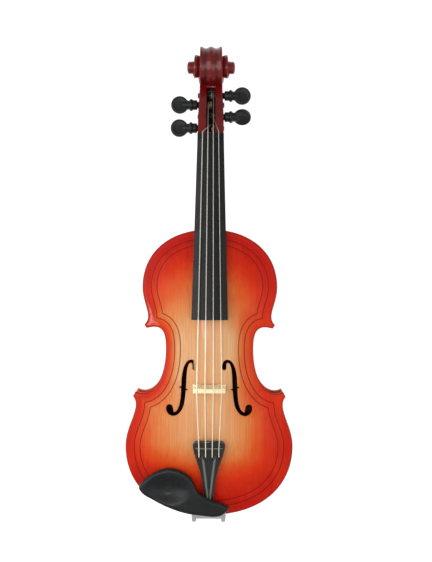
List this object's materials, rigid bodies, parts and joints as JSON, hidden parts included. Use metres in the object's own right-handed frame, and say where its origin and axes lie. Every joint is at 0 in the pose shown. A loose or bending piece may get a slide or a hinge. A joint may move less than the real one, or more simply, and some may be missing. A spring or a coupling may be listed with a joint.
{
  "type": "violin",
  "caption": "Violin lying on its back: arched belly and back on ribs, neck with scroll, tuning pegs, bridge, strings, tailpiece and clamped chinrest.",
  "frame": {"origin": "under the middle of the instrument's overall length and width, on the plane that its back lies on", "axes": "+X towards the treble side, +Y along the neck towards the scroll, +Z out of the belly"},
  "size_m": [0.2084, 0.598, 0.089],
  "materials": {
    "belly_varnish": "glossy oil varnish over spruce, orange in the middle and red towards the edge",
    "maple_varnish": "glossy red-brown varnish over maple",
    "bare_spruce": "bare, unvarnished",
    "purfling": "dyed strip under varnish",
    "ebony": "satin, oiled",
    "black_fittings": "polished black",
    "fret": "satin",
    "bridge_maple": "bare, fine sanded",
    "string_winding": "wound metal ribbon",
    "ball_brass": "plain",
    "nylon": "smooth",
    "cork": "open grain",
    "clamp_metal": "plated"
  },
  "bodies": {
    "violin": {"top_plate": "belly_varnish", "back_plate": "maple_varnish", "rib_lower_left": "maple_varnish", "rib_lower_right": "maple_varnish", "rib_waist_left": "maple_varnish", "rib_waist_right": "maple_varnish", "rib_upper_left": "maple_varnish", "rib_upper_right": "maple_varnish", "linings_top": "bare_spruce", "linings_back": "bare_spruce", "neck_block": "bare_spruce", "end_block": "bare_spruce", "corner_block_lower_left": "bare_spruce", "corner_block_lower_right": "bare_spruce", "corner_block_upper_left": "bare_spruce", "corner_block_upper_right": "bare_spruce", "bass_bar": "bare_spruce", "sound_post": "bare_spruce", "purfling_outer": "purfling", "purfling_inner": "purfling", "purfling_back": "purfling", "neck": "maple_varnish", "fingerboard": "ebony", "nut": "ebony", "bridge": "bridge_maple", "string_g": "string_winding", "string_d": "string_winding", "string_a": "string_winding", "string_e": "string_winding", "string_balls": "ball_brass", "tailpiece": "black_fittings", "tailpiece_fret": "fret", "tail_gut": "nylon", "end_button": "black_fittings", "lower_saddle": "ebony", "chinrest": "black_fittings", "chinrest_cork": "cork", "chinrest_screws": "clamp_metal", "clamp_top": "clamp_metal"},
    "g_peg_set": {"peg_g": "black_fittings", "string_g_wrap": "string_winding"},
    "d_peg_set": {"peg_d": "black_fittings", "string_d_wrap": "string_winding"},
    "a_peg_set": {"peg_a": "black_fittings", "string_a_wrap": "string_winding"},
    "e_peg_set": {"peg_e": "black_fittings", "string_e_wrap": "string_winding"},
    "clamp_left_barrel": {"clamp_barrel_left": "clamp_metal"},
    "clamp_right_barrel": {"clamp_barrel_right": "clamp_metal"},
    "clamp_lower": {"clamp_foot": "clamp_metal", "clamp_foot_cork": "cork"}
  },
  "joints": [
    {"name": "g_peg_turn", "type": "hinge", "parent": "violin", "child": "g_peg_set", "pos_m": [0, 0.195, 0.0324], "axis": [1, 0, 0], "continuous": true},
    {"name": "d_peg_turn", "type": "hinge", "parent": "violin", "child": "d_peg_set", "pos_m": [0, 0.226, 0.0244], "axis": [1, 0, 0], "continuous": true},
    {"name": "a_peg_turn", "type": "hinge", "parent": "violin", "child": "a_peg_set", "pos_m": [0, 0.2386, 0.0209], "axis": [1, 0, 0], "continuous": true},
    {"name": "e_peg_turn", "type": "hinge", "parent": "violin", "child": "e_peg_set", "pos_m": [0, 0.21, 0.0286], "axis": [1, 0, 0], "continuous": true},
    {"name": "clamp_left_turn", "type": "hinge", "parent": "violin", "child": "clamp_left_barrel", "pos_m": [-0.018, -0.2932, 0.0305], "axis": [0, 0, 1], "range_deg": [0, 2160]},
    {"name": "clamp_right_turn", "type": "hinge", "parent": "violin", "child": "clamp_right_barrel", "pos_m": [0.018, -0.2932, 0.0305], "axis": [0, 0, 1], "range_deg": [0, 2160]},
    {"name": "clamp_foot_slide", "type": "slide", "parent": "violin", "child": "clamp_lower", "axis": [0, 0, -1], "range_m": [0, 0.0042]}
  ],
  "couplings": [
    {"joint": "clamp_left_turn", "follows": "clamp_foot_slide", "rad_per_m": 8975.9},
    {"joint": "clamp_right_turn", "follows": "clamp_foot_slide", "rad_per_m": 8975.9}
  ]
}
